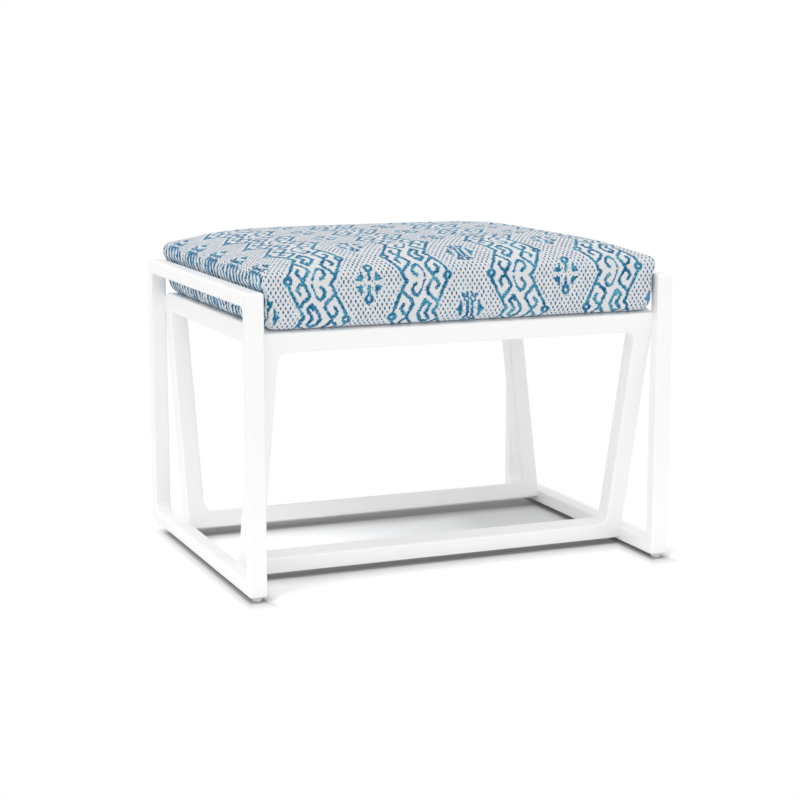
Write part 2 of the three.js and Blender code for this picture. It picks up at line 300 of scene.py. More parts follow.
def side_frame(side):
    turn = math.radians(90 if side == "left" else -90)
    shift = -SIDE_X if side == "left" else SIDE_X
    place = Matrix.Translation((shift, 0, 0)) @ Matrix.Rotation(turn, 4, "Z")
    front, rear = ("left", "right") if side == "left" else ("right", "left")
    parts = {"front_post": (front, ("lower_front_gusset", "upper_front_gusset")),
             "rear_post": (rear, ("lower_rear_gusset", "upper_rear_gusset")),
             "arm_rail": ("top", ()), "floor_rail": ("bottom", ())}
    place_tubes(side, side_ring, SIDE, place, parts)


side_frame("left")
side_frame("right")
side_ring.free()
print("side frames: 8 tubes")

# %% [markdown]
# ## Leaning inner frames
# The front and rear inner frames carry the seat. Each leans out at the top by about 14
# degrees, and its tubes are square to its own plane, so the whole ring is built upright and
# then turned. The rear frame is the front one turned half round.

# %% Front and rear inner frames
RISE, SPREAD = 364, 91.8
LEAN = math.atan(SPREAD / RISE)
FOOT_Y, FOOT_Z, INNER_DEPTH = -153.7 * MM, 10 * MM, 29 * MM
INNER = dict(half_width=306.9 * MM, low=0, high=RISE * MM / math.cos(LEAN),
             sides=28.1 * MM, bottom=26 * MM, top=30 * MM)
INNER_FOOT = Matrix.Translation((0, FOOT_Y, FOOT_Z)) @ Matrix.Rotation(LEAN, 4, "X")
inner_ring = tube_ring(**INNER, depth=INNER_DEPTH, edge=3 * MM, corner=3.2 * MM, window=15 * MM)


def inner_frame(end):
    place = INNER_FOOT if end == "front" else Matrix.Rotation(math.pi, 4, "Z") @ INNER_FOOT
    first, second = ("left", "right") if end == "front" else ("right", "left")
    parts = {"left_leg": (first, ("lower_left_gusset", "upper_left_gusset")),
             "right_leg": (second, ("lower_right_gusset", "upper_right_gusset")),
             "seat_rail": ("top", ()), "inner_floor_rail": ("bottom", ())}
    place_tubes(end, inner_ring, INNER, place, parts)


inner_frame("front")
inner_frame("rear")
inner_ring.free()
print("inner frames: 8 tubes, leaning", round(math.degrees(LEAN), 2), "degrees")

# %% [markdown]
# ## Seat deck
# Two rails join the inner frames at the sides, and five flat slats between them hold up the
# cushion. Their ends are cut to the lean of the rails that they are welded to. A bar starts
# as a cube, is stretched to size, sheared at its ends and bevelled along its edges.

# %% A stretched cube, and the faces that the bars end on
REAR_FACE = FOOT_Y + INNER_DEPTH * math.cos(LEAN)
REAR_FACE_LOW = FOOT_Z + INNER_DEPTH * math.sin(LEAN)


def block(bm, middle, size):
    cube = bmesh.ops.create_cube(bm, size=1)["verts"]
    stretch = Matrix.Translation(middle) @ Matrix.Diagonal((*size, 1))
    bmesh.ops.transform(bm, matrix=stretch, verts=cube)


def rail_face(z):
    """How far from the middle the inner face of the leaning rails is, at one height."""
    return -(REAR_FACE - (z - REAR_FACE_LOW) * math.tan(LEAN))


print("bars reach", round(rail_face(FOOT_Z + RISE * MM) * 1000, 1), "mm from the middle")

# %% Side rails and slats
SEAT_RAIL_INNER, SEAT_RAIL_OUTER = 278.7 * MM, 304.95 * MM
SEAT_RAIL_LOW, SEAT_RAIL_HIGH = 350.45 * MM, 380.45 * MM
RAIL_EDGE, SLAT_EDGE = 3 * MM, 1.5 * MM


def deck_bar(name, left, right, low, high, edge, replaced):
    bm = bmesh.new()
    block(bm, ((left + right) / 2, 0, (low + high) / 2), (right - left, 1, high - low))
    for vert in bm.verts:
        vert.co.y = math.copysign(rail_face(vert.co.z), vert.co.y)
    long_edges = [e for e in bm.edges if e.verts[0].co.y * e.verts[1].co.y < 0]
    bmesh.ops.bevel(bm, geom=long_edges, offset=edge, offset_type="OFFSET", segments=4,
                    profile=0.5, affect="EDGES", material=-1)
    finished_piece(name, bm, coat, replaced=[replaced])


for side, left, right in (("left", -SEAT_RAIL_OUTER, -SEAT_RAIL_INNER),
                          ("right", SEAT_RAIL_INNER, SEAT_RAIL_OUTER)):
    deck_bar(f"{side}_seat_rail_tube", left, right, SEAT_RAIL_LOW, SEAT_RAIL_HIGH, RAIL_EDGE,
             f"{side}_seat_rail")
for number in range(5):
    name = f"seat_slat_{number + 1}"
    low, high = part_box(name)
    deck_bar(f"{name}_bar", low.x, high.x, low.z, high.z, SLAT_EDGE, name)
print("deck: 2 rails, 5 slats")

# %% [markdown]
# ## Glides
# Under each post a small moulded glide keeps the metal off the floor. It is a turned shape,
# so its half section is spun a full turn about the post's axis.

# %% Moulded plastic
PLASTIC_GREYS = (0.62, 0.62, 0.61, 1), (0.70, 0.70, 0.69, 1)


def glide_plastic():
    plastic = Finish("glide_plastic")
    grain = plastic.noise(plastic.object_place(), 1500.0)
    plastic.set(Base_Color=plastic.mix(grain, *PLASTIC_GREYS), Roughness=0.42 + 0.12 * grain)
    plastic.bump(grain, strength=0.2, distance=0.0001)
    return plastic.material


plastic = glide_plastic()
print("nodes in the plastic:", len(plastic.node_tree.nodes))

# %% Four glides: distance from the axis and height of each corner, in millimetres
GLIDE_X, GLIDE_Y = 317.5 * MM, 247 * MM
GLIDE_SECTION = [(0, 0), (4.6, 0), (5.5, 0.25), (6.2, 1.0), (6.8, 2.2), (7, 3.4), (7, 6.4),
                 (4, 6.4), (4, 15), (3.4, 15.5), (0, 15.5)]


def glide(name, x, y):
    bm = bmesh.new()
    verts = [bm.verts.new((r * MM, 0, z * MM)) for r, z in GLIDE_SECTION]
    edges = [bm.edges.new(pair) for pair in zip(verts, verts[1:])]
    bmesh.ops.spin(bm, geom=verts + edges, cent=(0, 0, 0), axis=(0, 0, 1), dvec=(0, 0, 0),
                   angle=2 * math.pi, steps=32, use_merge=True)
    bmesh.ops.translate(bm, verts=bm.verts, vec=(x, y, 0))
    finished_piece(f"{name}_disc", bm, plastic, replaced=[name])


for side, x in (("left", -GLIDE_X), ("right", GLIDE_X)):
    for end, y in (("front", -GLIDE_Y), ("rear", GLIDE_Y)):
        glide(f"{side}_{end}_glide", x, y)
print("glides: 4")

# %% [markdown]
# ## The cushion's form
# The cushion is a block of foam in a tight sewn cover: square-cornered in plan, crowned on
# top, with sides that draw in a little between the corners. It swells out over the arms, and
# its underside sinks a little over the sloping tops of the front and rear seat rails. It
# starts as a cube cut into an even net, so that the threads of the cover can follow the net.
# The net is then laid on a rounded form, and cloth simulation with pressure inside gives it
# its last softness. The net's own numbers also say where the cloth's pattern goes.

# %% A cube cut into an even net
COVER_HALF_X, COVER_HALF_Y = 303 * MM, 253 * MM
COVER_BOTTOM, COVER_SHOULDER, COVER_CROWN = 380.8 * MM, 457.7 * MM, 27.3 * MM
NET = (100, 84, 18)  # faces from side to side, from front to rear, and up


def cube_net():
    bm = bmesh.new()
    bmesh.ops.create_cube(bm, size=2)
    for axis, count in enumerate(NET):
        along = [e for e in bm.edges
                 if abs(e.verts[0].co[axis] - e.verts[1].co[axis]) > 1.5]
        bmesh.ops.subdivide_edges(bm, edges=along, cuts=count - 1, use_grid_fill=True)
    return bm


net = cube_net()
print("net faces:", len(net.faces))

# %% The side walls: a rounded lower edge, a straight part and a rounded shoulder
TOP_ROUND = 10 * MM
BOTTOM_ROUND_ENDS, BOTTOM_ROUND_LONG = 16 * MM, 20 * MM  # the front and rear are the long sides


def side_length(edge_round):
    return (edge_round + TOP_ROUND) * (math.pi / 2 - 1) + COVER_SHOULDER - COVER_BOTTOM


def wall_profile(c, edge_round):
    """How far in, and how high, a point of the side is, for its net number from -1 to 1."""
    height = (c + 1) / 2 * side_length(edge_round)
    left = side_length(edge_round) - height
    if height < edge_round * math.pi / 2:
        turn = height / edge_round
        return edge_round * (1 - math.sin(turn)), COVER_BOTTOM + edge_round * (1 - math.cos(turn))
    if left > TOP_ROUND * math.pi / 2:
        return 0.0, COVER_BOTTOM + height - edge_round * (math.pi / 2 - 1)
    turn = math.pi / 2 - left / TOP_ROUND
    return TOP_ROUND * (1 - math.cos(turn)), COVER_SHOULDER - TOP_ROUND * (1 - math.sin(turn))


print("cloth on the front wall, mm:", round(side_length(BOTTOM_ROUND_LONG) * 1000, 1))

# %% The plan, the crown and the underside
BULGE = 5.5 * MM
CROWN_EDGE, CROWN_FALL = 6.1, 1.15  # higher keeps the middle flat, and the edge steep
# The rails' slope starts here. The cover sinks by so much, and by so much less at the ends
SLOPE_START, SINK, SINK_LESS = 219.4 * MM, 3.5 * MM, 1.6 * MM
SINK_ENDS = 255 * MM, 300 * MM


def rounded_plan(a, b, half_x, half_y, radius):
    """A point of a square net, laid on a rectangle with rounded corners."""
    x, y = a * half_x, b * half_y
    over_x, over_y = abs(x) - (half_x - radius), abs(y) - (half_y - radius)
    if over_x > 0 and over_y > 0:
        share = max(over_x, over_y) / math.hypot(over_x, over_y)
        x = math.copysign(half_x - radius + over_x * share, x)
        y = math.copysign(half_y - radius + over_y * share, y)
    return x, y


def crown(x, y):
    """How high the top stands over the shoulder: nearly flat, then falling to the edges."""
    across = max(1 - abs(x / (COVER_HALF_X + BULGE)) ** CROWN_EDGE, 0)
    along = max(1 - abs(y / COVER_HALF_Y) ** CROWN_EDGE, 0)
    return COVER_CROWN * (across * along) ** CROWN_FALL


def eased(value, low, high):
    """From 0 to 1, starting and ending gently."""
    share = min(max((value - low) / (high - low), 0), 1)
    return share * share * (3 - 2 * share)


def lowest(x, y):
    """The underside follows the seat rails, whose tops slope down outwards at front and rear."""
    most = SINK - SINK_LESS * eased(abs(x), *SINK_ENDS)
    return COVER_BOTTOM - min(max(abs(y) - SLOPE_START, 0) * math.tan(LEAN), most)


print("crown at the middle, mm:", round((COVER_SHOULDER + crown(0, 0)) * 1000, 1))

# %% Lay the net on the form
PLAN_ROUND_FRONT, PLAN_ROUND_REAR, PLAN_ROUND_HIGH = 19 * MM, 38 * MM, 12 * MM
ARM_TOP, DRAW_IN = 432 * MM, 1.2 * MM
SWELL = ARM_TOP - 1 * MM, ARM_TOP + 5 * MM
ENDS_FROM = 0.86


def laid_on_form(a, b, c):
    """Where a point of the cube's net, numbered from -1 to 1 each way, lies on the cushion."""
    corner_low = PLAN_ROUND_FRONT if b < 0 else PLAN_ROUND_REAR
    edge_round = (BOTTOM_ROUND_LONG
                  + (BOTTOM_ROUND_ENDS - BOTTOM_ROUND_LONG) * eased(abs(a), ENDS_FROM, 1))
    if c > 0.9999:
        x, y = rounded_plan(a, b, COVER_HALF_X - TOP_ROUND, COVER_HALF_Y - TOP_ROUND,
                            PLAN_ROUND_HIGH - TOP_ROUND)
        x *= 1 + BULGE / COVER_HALF_X
        return Vector((x, y, COVER_SHOULDER + crown(x, y)))
    if c < -0.9999:
        x, y = rounded_plan(a, b, COVER_HALF_X - BOTTOM_ROUND_ENDS, COVER_HALF_Y - edge_round,
                            corner_low - BOTTOM_ROUND_ENDS)
        return Vector((x, y, lowest(x, y)))
    inset, z = wall_profile(c, edge_round)
    inset_x = inset * BOTTOM_ROUND_ENDS / edge_round if z < COVER_BOTTOM + edge_round else inset
    high = eased(z, COVER_BOTTOM, COVER_BOTTOM + 2 * BOTTOM_ROUND_ENDS)
    corner = corner_low + (PLAN_ROUND_HIGH - corner_low) * high
    x, y = rounded_plan(a, b, COVER_HALF_X - inset_x, COVER_HALF_Y - inset, corner - inset_x)
    x *= 1 + BULGE / COVER_HALF_X * eased(z, *SWELL)
    waist = DRAW_IN * math.sin(math.pi * (z - COVER_BOTTOM) / (COVER_SHOULDER - COVER_BOTTOM))
    if z > COVER_SHOULDER - TOP_ROUND:
        z += crown(x, y)
    z += (lowest(x, y) - COVER_BOTTOM) * (1 - high)
    if abs(b) > 0.9999:
        y -= math.copysign(waist * (1 - a ** 4), b)
    if abs(a) > 0.9999:
        x -= math.copysign(waist * (1 - b ** 4), a)
    return Vector((x, y, z))


print("shoulder's front edge, mm:", [round(n * 1000, 1) for n in laid_on_form(0, -1, 1)])

# %% [markdown]
# ## Where the cloth runs
# One length of cloth goes up the front, over the top and down the rear, so the woven
# pattern runs on over the front edge without a break. The two ends are panels of their own,
# sewn in, on which the pattern of the top is drawn down in long streaks. The UV map holds
# this in metres: u is the place from left to right and runs on down the end panels, and v is
# the length of cloth, counted so that halfway up the front it is the height over the floor.

# %% Length of cloth up the front, over the top and down the rear
def climb(a):
    """For one line of the net, the cloth used up to each of its points."""
    even = [[2 * k / count - 1 for k in range(count + 1)] for count in NET]
    line = ([(a, -1, c) for c in even[2]] + [(a, b, 1) for b in even[1][1:]]
            + [(a, 1, c) for c in reversed(even[2][:-1])])
    points = [laid_on_form(*place) for place in line]
    used, total = {}, 0
    for place, point, last in zip(line, points, points[:1] + points):
        total += math.hypot(point.y - last.y, point.z - last.z)
        used[tuple(round(n, 4) for n in place)] = total
    middle = (round(a, 4), -1, 0)
    start = laid_on_form(*middle).z - used[middle]
    return {place: start + length for place, length in used.items()}


climbs = {}
for number in range(NET[0] + 1):
    climbs.update(climb(2 * number / NET[0] - 1))
print("cloth lines measured:", NET[0] + 1)


# %% UV map of the cover
def cloth_place(panel, a, b, c):
    """u and v of a point of the net, as it is seen from one panel."""
    x = laid_on_form(a, b, c).x
    if panel == "under":
        return x, COVER_BOTTOM - 2 * BOTTOM_ROUND_ENDS - (b + 1) * COVER_HALF_Y
    if panel != "end":
        return x, climbs[tuple(round(n, 4) for n in (a, b, c))]
    edge = abs(laid_on_form(a, b, 1).x)
    down = side_length(BOTTOM_ROUND_ENDS) * (1 - c) / 2
    return math.copysign(edge + down, a), climbs[(round(a, 4), round(b, 4), 1)]


def panel_of(face):
    n = face.normal
    if abs(n.z) > 0.5:
        return "top" if n.z > 0 else "under"
    if abs(n.y) > 0.5:
        return "front" if n.y < 0 else "rear"
    return "end"


def lay_cloth(bm):
    uv = bm.loops.layers.uv.new("cloth")
    for face in bm.faces:
        panel = panel_of(face)
        for loop in face.loops:
            loop[uv].uv = cloth_place(panel, *loop.vert.co)
    for vert in bm.verts:
        vert.co = laid_on_form(*vert.co)


print("cloth place of the shoulder, m:", [round(n, 4) for n in cloth_place("top", 0, -1, 1)])

# %% Mark the seams round the end panels, then lay the net on the form
def seam_edges(bm):
    return [e for e in bm.edges if len({panel_of(f) == "end" for f in e.link_faces}) > 1]


seam_layer = net.edges.layers.int.new("seam")
bmesh.ops.recalc_face_normals(net, faces=net.faces)
seams = seam_edges(net)
for edge in seams:
    edge[seam_layer] = 1
lay_cloth(net)
print("seam length in edges:", len(seams))

# %% The cushion's start shape as an object
bmesh.ops.recalc_face_normals(net, faces=net.faces)
cover_mesh = bpy.data.meshes.new("cushion_cover_sewn")
net.to_mesh(cover_mesh)
net.free()
cover = bpy.data.objects.new("cushion_cover_sewn", cover_mesh)
scene.collection.objects.link(cover)
print("cover before filling:", len(cover_mesh.vertices), "points")

# %% [markdown]
# ## Filling the cover
# The sewn cover is blown up a little by pressure, with gravity off and the underside held,
# as foam does to a tight cover. No point may move further than 1.5 mm from the form, so the
# cushion keeps the outline of the real one.

# %% Cloth simulation with a cap on each point's movement
FILL_CAP, FILL_FRAMES = 1.5 * MM, 20


def fill_cover(piece):
    rest = [v.co.copy() for v in piece.data.vertices]
    held = piece.vertex_groups.new(name="held")
    held.add([i for i, p in enumerate(rest) if p.z < COVER_BOTTOM + 0.5 * MM], 1.0, "ADD")
    cloth = piece.modifiers.new("filling", "CLOTH")
    cloth.settings.quality = 5
    cloth.settings.mass = 0.3
    cloth.settings.tension_stiffness = 40
    cloth.settings.compression_stiffness = 40
    cloth.settings.shear_stiffness = 20
    cloth.settings.bending_stiffness = 3
    cloth.settings.use_pressure = True
    cloth.settings.uniform_pressure_force = 4
    cloth.settings.effector_weights.gravity = 0
    cloth.settings.vertex_group_mass = "held"
    cloth.point_cache.frame_start, cloth.point_cache.frame_end = 1, FILL_FRAMES
    for number in range(1, FILL_FRAMES + 1):
        scene.frame_set(number)
    graph = bpy.context.evaluated_depsgraph_get()
    filled = [v.co.copy() for v in piece.evaluated_get(graph).data.vertices]
    piece.modifiers.remove(cloth)
    scene.frame_set(1)
    moved = 0.0
    for vert, start, end in zip(piece.data.vertices, rest, filled):
        step = end - start
        moved = max(moved, step.length)
        if step.length > FILL_CAP:
            step *= FILL_CAP / step.length
        vert.co = start + step
    return moved


print("filled; the furthest point wanted to move", round(fill_cover(cover) * 1000, 1), "mm")

# %% Press in the seams, and let nothing sag through the underside
SEAM_HALF, SEAM_DEPTH = 0.9 * MM, 0.45 * MM


def press_seams(piece):
    bm = bmesh.new()
    bm.from_mesh(piece.data)
    layer = bm.edges.layers.int["seam"]
    sewn = [e for e in bm.edges if e[layer]]
    cut = bmesh.ops.bevel(bm, geom=sewn, offset=SEAM_HALF, offset_type="OFFSET", segments=2,
                          profile=0.5, affect="EDGES", material=-1, loop_slide=True)
    strip = set(cut["faces"])
    points = {v for f in strip for v in f.verts}
    bm.normal_update()
    for vert in [v for v in points if all(f in strip for f in v.link_faces)]:
        vert.co -= vert.normal * SEAM_DEPTH
    for vert in bm.verts:
        vert.co.z = max(vert.co.z, lowest(vert.co.x, vert.co.y))
    bm.to_mesh(piece.data)
    bm.free()


press_seams(cover)
print("cover faces:", len(cover.data.polygons))

# %% [markdown]
# ## The woven pattern
# The cloth is a jacquard: blue threads float on the face to draw diamonds, hooked scrolls
# and fields of short dashes, and dive under the off-white ones elsewhere. It is drawn here
# as strokes in one small corner of the repeat, and mirrors do the rest. Two kinds of diamond,
# A and B, alternate, and one is shifted by half a repeat against the other.

# %% The repeat, in millimetres
COLUMN, ROW = 152.8, 98.0  # half the repeat's width, and its full height
A_CENTRE = (154.8, 438.5)  # the cloth place of the middle of one A diamond
B_RAISED, RAISE_ZONE = 6.5, (52, 104)  # B stands higher, and the rise is spread over this zone
DIAMOND_SLOPE = 0.45  # of the line where A gives way to B
FIELD_SLOPE, FIELD_EDGE = 0.56, 51.5  # dashes fill each diamond up to this slanting edge
print("repeat:", 2 * COLUMN, "by", ROW, "mm")

# %% Lines of the figures, as points from the middle of a diamond, all with one half width
HALF_WIDTH = 2.5
BOTH = [
    ((57, 0), (52.5, 5.5), (49.5, 13), (45, 21), (40.5, 30), (35, 41)),
    ((49.5, 13), (56, 19.5), (63.5, 27), (65.5, 32.5), (60, 41), (55, 49)),
    ((56, 46), (50.5, 43.5), (47, 37), (51, 31.5)),
]
ONLY_A = [
    ((0, 5), (0, 16)),
    ((84, 3.5), (83, 10), (79, 17.5), (73, 22.5), (67, 19.5), (65, 12.5), (68, 8), (71.5, 5.5)),
]
ONLY_B = [
    ((3.6, 0), (3.6, 11)), ((4.4, 19), (3.6, 23.5)), ((7.4, 17.8), (10.4, 21)),
    ((69, 19), (62, 10.5), (69.5, 0)), ((71, 16), (76, 9), (80.5, 0)),
]
print("lines of the figures:", len(BOTH + ONLY_A + ONLY_B))

# %% Wedges: a point and its half width, twice. Rings: a middle, a radius and a half width
WEDGES_A = [
    (11.8, 5.9, 3.1, 19, 5.2, 1.5), (11.6, 7, 3.4, 11, 15.5, 1.4),
    (13, 7, 3.9, 14.6, 8.4, 3.0), (0, 27, 2.4, 0, 31, 0.6),
]
WEDGES_B = [
    (15.4, 0, 3.8, 14, 10.5, 1.8), (16.4, 0, 4.8, 21.5, 0, 1.4), (69, 18, 3.0, 70.5, 13, 3.2),
]
RINGS_BOTH = [(33.8, 49, 4.5, 2.7)]
RINGS_A = [(0, 22, 4.7, 2.6)]
RINGS_B = [(4.8, 15, 3.4, 1.5)]
print("wedges:", len(WEDGES_A + WEDGES_B), "rings:", len(RINGS_BOTH + RINGS_A + RINGS_B))


# %% Distance to lines, wedges and rings
def wedge_distance(cloth, point, wedges, nearest=None):
    """How far a point is outside the nearest wedge, whose half width changes along it."""
    for x0, y0, r0, x1, y1, r1 in wedges:
        run = Vector((x1 - x0, y1 - y0, 0))
        offset = cloth.vector("SUBTRACT", point, (x0, y0, 0))
        share = cloth.vector("DOT_PRODUCT", offset, tuple(run / run.length_squared), out=1)
        share = cloth.node("ShaderNodeClamp", {}, [share])
        length = cloth.vector("DISTANCE", offset, cloth.scale(tuple(run), share), out=1)
        if r0 != r1:
            length = cloth.math("MULTIPLY_ADD", share, r0 - r1, length)
        length = length - r0
        nearest = length if nearest is None else nearest.math("MINIMUM", length)
    return nearest


def drawing_distance(cloth, point, lines, wedges, rings):
    strokes = [(*start, HALF_WIDTH, *end, HALF_WIDTH)
               for line in lines for start, end in zip(line, line[1:])]
    nearest = wedge_distance(cloth, point, strokes)
    nearest = wedge_distance(cloth, point, wedges, nearest)
    for x, y, radius, half in rings:
        length = cloth.vector("DISTANCE", point, (x, y, 0), out=1)
        nearest = nearest.math("MINIMUM", abs(length - radius) - half)
    return nearest


print("distance helpers ready")

# %% [markdown]
# ## From strokes to threads
# A picture of the pattern would blur near by. Here each crossing of two threads has one
# place, snapped to the threads' own widths, and asks how far it is from the nearest stroke:
# inside it is blue, outside off-white. The place is bent a little by noise first, because
# real threads wander, and the strokes' rims get a random fray.

# %% The place on the cloth in millimetres, with threads that wander a little
THREAD_U, THREAD_V = 1.18, 0.915
WANDER, WANDER_SCALE = 4.4, 270.0
END_EDGE, END_REACH = 303.4, 9.7  # past this edge the figures are drawn in, up to this reach


def threads(cloth):
    """The flat place, and u and v of a place that is pushed about from thread to thread."""
    mm = cloth.scale(cloth.node("ShaderNodeUVMap", {"uv_map": "cloth"}), 1000)
    push = cloth.noise(cloth.object_place(), WANDER_SCALE, out=1)
    centred = cloth.vector("SUBTRACT", mm, (WANDER / 2, WANDER / 2, 0))
    bent = cloth.vector("MULTIPLY_ADD", push, (WANDER, WANDER, 0), centred)
    return mm, *cloth.split(bent)


def folded(cloth, u, v):
    """The repeat's mirrors: every place goes to one corner, the same for both diamonds."""
    fold_u = (u - A_CENTRE[0]).math("PINGPONG", COLUMN)
    raised = cloth.step(fold_u, *RAISE_ZONE) * B_RAISED
    fold_v = (v - raised - A_CENTRE[1]).math("PINGPONG", ROW / 2)
    is_b = (fold_u + fold_v * DIAMOND_SLOPE) > (COLUMN / 2 + DIAMOND_SLOPE * ROW / 4)
    point_u = fold_u + is_b * (COLUMN - 2 * fold_u)
    point_v = fold_v + is_b * (ROW / 2 - 2 * fold_v)
    return point_u, point_v, is_b


print("threads per centimetre:", round(10 / THREAD_U, 1), "by", round(10 / THREAD_V, 1))

# %% Fields of short dashes
DASH_U, DASH_V = 6 * THREAD_U, 6 * THREAD_V
DASH_HALF_U, DASH_HALF_V, DASH_GROWS, DASH_FRAY = 1.2, 1.3, 1.3, 0.5
FAR = 20  # further than any rim is wide


def dash_distance(cloth, mm, fray, dashed):
    """Rows of dashes, each row half a dash out of step, and far away outside the fields."""
    flat_u, flat_v = cloth.split(mm)
    number = (flat_u.math("SNAP", THREAD_U) + THREAD_U / 2) / DASH_U
    row = (flat_v.math("SNAP", THREAD_V) + THREAD_V / 2) / DASH_V
    row_number = row.math("FLOOR")
    number = number + row_number * 0.5
    size = cloth.speckle(number.math("FLOOR"), row_number)
    across = abs(number.math("FRACT") - 0.5) * DASH_U - DASH_HALF_U
    along = abs(row.math("FRACT") - 0.5) * DASH_V - (DASH_HALF_V + size * DASH_GROWS)
    return across.math("MAXIMUM", along) + fray * DASH_FRAY + (1 - dashed) * FAR


print("a dash every", round(DASH_U, 2), "by", round(DASH_V, 2), "mm")

# %% Streaks on the end panels
STREAK_PITCH = 14.5
WAVE_SIZE, PATCH_SIZE = (24, 10), (11, 22)  # along the panel and down it, in millimetres
WAVE_BEND, PATCH_SHARE, COLUMN_SHARE, FRAY_SHARE = 1.2, 3.2, 0.35, 0.9
STREAK_EDGE, STREAKS_FROM = (-0.20, 0.02), (3.5, 7.0)


def end_streaks(cloth, along, drop, figures, fray):
    """Below the top edge of the end panels the figures turn into wavy upright streaks."""
    wave, patch = (cloth.noise(cloth.join(along / wide, drop / high), 1.0, dimensions="2D")
                   for wide, high in (WAVE_SIZE, PATCH_SIZE))
    ridge = ((along / STREAK_PITCH + wave * WAVE_BEND) * (2 * math.pi)).math("COSINE")
    column = ((along - A_CENTRE[1] - ROW / 2 - B_RAISED) * (2 * math.pi / ROW)).math("COSINE")
    height = ridge + (patch - 0.5) * PATCH_SHARE + column * COLUMN_SHARE + fray * FRAY_SHARE
    streak = cloth.step(height, *STREAK_EDGE)
    return figures + cloth.step(drop, *STREAKS_FROM) * (streak - figures)


print("streaks on an end panel:", round(2 * COVER_HALF_Y / MM / STREAK_PITCH))

# %% The threads' colours
BLUES = [(0.0, (0.001, 0.090, 0.213, 1)), (0.5, (0.003, 0.170, 0.325, 1)),
         (1.0, (0.13, 0.43, 0.57, 1))]
LINENS = (0.76, 0.755, 0.762, 1), (0.62, 0.63, 0.645, 1)
FLECK_SHARE, DRIFT_SHARE, TONE_SHIFT, DASH_DEEPER = 1.15, 1.6, 0.92, 0.25
DRIFT_SCALE = 0.045


def thread_colour(cloth, mm, fleck, dashed, drawn):
    """Each thread has its own tone, and the blue also drifts slowly over the cloth."""
    drift = cloth.noise(mm, DRIFT_SCALE, dimensions="2D")
    tone = fleck * FLECK_SHARE + drift * DRIFT_SHARE - TONE_SHIFT - dashed * DASH_DEEPER
    blue = cloth.node("ShaderNodeValToRGB", {"stops": BLUES}, [tone.math("MAXIMUM", 0.0)])
    return cloth.mix(drawn, cloth.mix(fleck * 0.6, *LINENS), blue)


def weave(u, v, fleck):
    """The relief of the crossing threads."""
    rise_u = (u * (math.pi / THREAD_U)).math("COSINE")
    rise_v = (v * (math.pi / THREAD_V)).math("COSINE")
    return abs(rise_u) * 0.5 + abs(rise_v) * 0.5 + fleck * 0.25


print("blues:", len(BLUES), "off-whites:", len(LINENS))

# %% The cover's fabric
FRAY, CLEARANCE = 1.4, 2.2


def cover_fabric():
    cloth = Finish("cover_fabric")
    mm, raw_u, raw_v = threads(cloth)
    drop = (abs(raw_u) - END_EDGE).math("MAXIMUM", 0.0)
    drawn_in = raw_u - (drop - drop / (1 + drop / END_REACH)) * raw_u.math("SIGN")
    u, v = drawn_in.math("SNAP", THREAD_U), raw_v.math("SNAP", THREAD_V)
    point_u, point_v, is_b = folded(cloth, u, v)
    point = cloth.join(point_u, point_v)

    fray = cloth.speckle(raw_u.math("SNAP", 2 * THREAD_U), raw_v.math("SNAP", 2 * THREAD_V)) - 0.5
    both = drawing_distance(cloth, point, BOTH, [], RINGS_BOTH)
    in_a = drawing_distance(cloth, point, ONLY_A, WEDGES_A, RINGS_A)
    in_b = drawing_distance(cloth, point, ONLY_B, WEDGES_B, RINGS_B)
    figure = both.math("MINIMUM", in_a + is_b * (in_b - in_a)) + fray * FRAY
    dashed = ((point_u + point_v * FIELD_SLOPE) < FIELD_EDGE) * (figure > CLEARANCE)
    dash = dash_distance(cloth, mm, fray, dashed)
    figures = cloth.step(0.0 - figure.math("MINIMUM", dash), -0.5, 0.5)
    drawn = end_streaks(cloth, raw_v, drop, figures, fray)

    fleck = cloth.speckle(u, v)
    cloth.set(Base_Color=thread_colour(cloth, mm, fleck, dashed, drawn),
              Roughness=0.80 + 0.12 * fleck, Specular_IOR_Level=0.15,
              Sheen_Weight=0.04, Sheen_Roughness=0.5)
    cloth.bump(weave(raw_u, raw_v, fleck) + drawn * 0.3, strength=0.5, distance=0.0004)
    return cloth


fabric = cover_fabric()
print("nodes in the cover's finish:", len(fabric.tree.nodes))

# %% Finish the cover
cover.data.materials.clear()
cover.data.materials.append(fabric.material)
cover.data.polygons.foreach_set("use_smooth", [True] * len(cover.data.polygons))
smooth = cover.modifiers.new("finer net", "SUBSURF")
smooth.levels = smooth.render_levels = 1
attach(cover, "cushion")
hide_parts("cushion_cover", "cushion_core")
print("cover finished, faces before the finer net:", len(cover.data.polygons))

# %% [markdown]
# ## Zip
# The cover comes off for washing, so a zip runs along its rear. Two tapes meet there in a
# row of small teeth. Closed, the tapes look like one strip, so they are one bevelled bar.
# Each tooth is a plain block with few faces, since there are 180 of them.

# %% Finish of the zip's tape
TAPE_GREYS = (0.62, 0.62, 0.63, 1), (0.76, 0.76, 0.77, 1)


def zip_tape_finish():
    tape = Finish("zip_tape")
    rib = tape.node("ShaderNodeTexWave", {"bands_direction": "X"},
                    {"Vector": tape.object_place(), "Scale": 320.0})
    tape.set(Base_Color=tape.mix(rib, *TAPE_GREYS), Roughness=0.65 + 0.1 * rib)
    tape.bump(rib, strength=0.4, distance=0.0002)
    return tape.material


tape_finish = zip_tape_finish()
print("nodes in the tape:", len(tape_finish.node_tree.nodes))

# %% Tape and teeth
TAPE_SUNK = 0.8 * MM
TOOTH_PITCH, TOOTH_COUNT = 2.6 * MM, 180
TOOTH_SIZE, TOOTH_OUT, TOOTH_LIFT = (1.5 * MM, 1.0 * MM, 3.0 * MM), 0.5 * MM, 0.35 * MM


